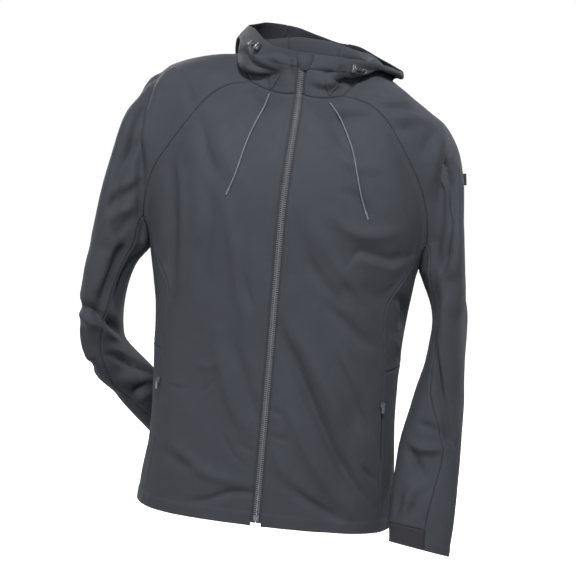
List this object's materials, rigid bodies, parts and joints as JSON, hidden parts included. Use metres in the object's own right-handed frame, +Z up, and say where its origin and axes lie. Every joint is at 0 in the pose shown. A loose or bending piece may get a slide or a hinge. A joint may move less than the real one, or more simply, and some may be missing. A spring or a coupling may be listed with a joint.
{
  "type": "hooded softshell jacket",
  "caption": "Hooded softshell jacket with raglan sleeves, a full front zip, zipped side pockets, hanging drawcords and elastic cuff bands, filled out as worn with the hood lying back.",
  "frame": {"origin": "between the two sides of the neck seam, where the jacket hangs on its wearer's neck and shoulders", "axes": "+X to the wearer's left, -Y the way the wearer faces, +Z up"},
  "size_m": [0.6596, 0.3265, 0.8318],
  "materials": {
    "shell_cloth": "matte charcoal softshell",
    "cuff_elastic": "matte elastic binding",
    "zip_tape": "woven tape",
    "zip_chain": "satin moulded teeth",
    "pocket_zip": "matte coil",
    "dark_metal": "satin enamel",
    "light_cord": "braided cord",
    "dark_cord": "braided cord",
    "cord_tip": "shrunk tube",
    "lock_plastic": "moulded"
  },
  "bodies": {
    "jacket": {"back": "shell_cloth", "chin_guard": "shell_cloth", "cord_lock_left": "lock_plastic", "cord_lock_right": "lock_plastic", "cord_loop_left": "dark_cord", "cord_loop_right": "dark_cord", "cuff_left_band": "cuff_elastic", "cuff_right_band": "cuff_elastic", "drawcord_left": "light_cord", "drawcord_left_tip": "cord_tip", "drawcord_right": "light_cord", "drawcord_right_tip": "cord_tip", "eyelet_left": "dark_metal", "eyelet_right": "dark_metal", "front_left": "shell_cloth", "front_right": "shell_cloth", "hood_centre": "shell_cloth", "hood_left": "shell_cloth", "hood_right": "shell_cloth", "main_zip_chain": "zip_chain", "main_zip_slider": "dark_metal", "main_zip_tape_left": "zip_tape", "main_zip_tape_right": "zip_tape", "pocket_left_slider": "dark_metal", "pocket_left_zip": "pocket_zip", "pocket_right_slider": "dark_metal", "pocket_right_zip": "pocket_zip", "rim_cord_left": "dark_cord", "rim_cord_right": "dark_cord", "side_left_lower": "shell_cloth", "side_left_upper": "shell_cloth", "side_right_lower": "shell_cloth", "side_right_upper": "shell_cloth", "sleeve_left_outer": "shell_cloth", "sleeve_left_under": "shell_cloth", "sleeve_right_outer": "shell_cloth", "sleeve_right_under": "shell_cloth", "sleeve_tab": "shell_cloth"},
    "left_pull": {"pocket_left_pull": "dark_metal"},
    "right_pull": {"pocket_right_pull": "dark_metal"}
  },
  "joints": [
    {"name": "left_pull_swing", "type": "hinge", "parent": "jacket", "child": "left_pull", "pos_m": [0.18092, -0.0787, -0.53192], "axis": [-0.6138, -0.7858, -0.0759], "range_deg": [0, 150]},
    {"name": "right_pull_swing", "type": "hinge", "parent": "jacket", "child": "right_pull", "pos_m": [-0.18793, -0.07876, -0.53213], "axis": [-0.627, 0.7777, 0.0456], "range_deg": [0, 150]}
  ]
}
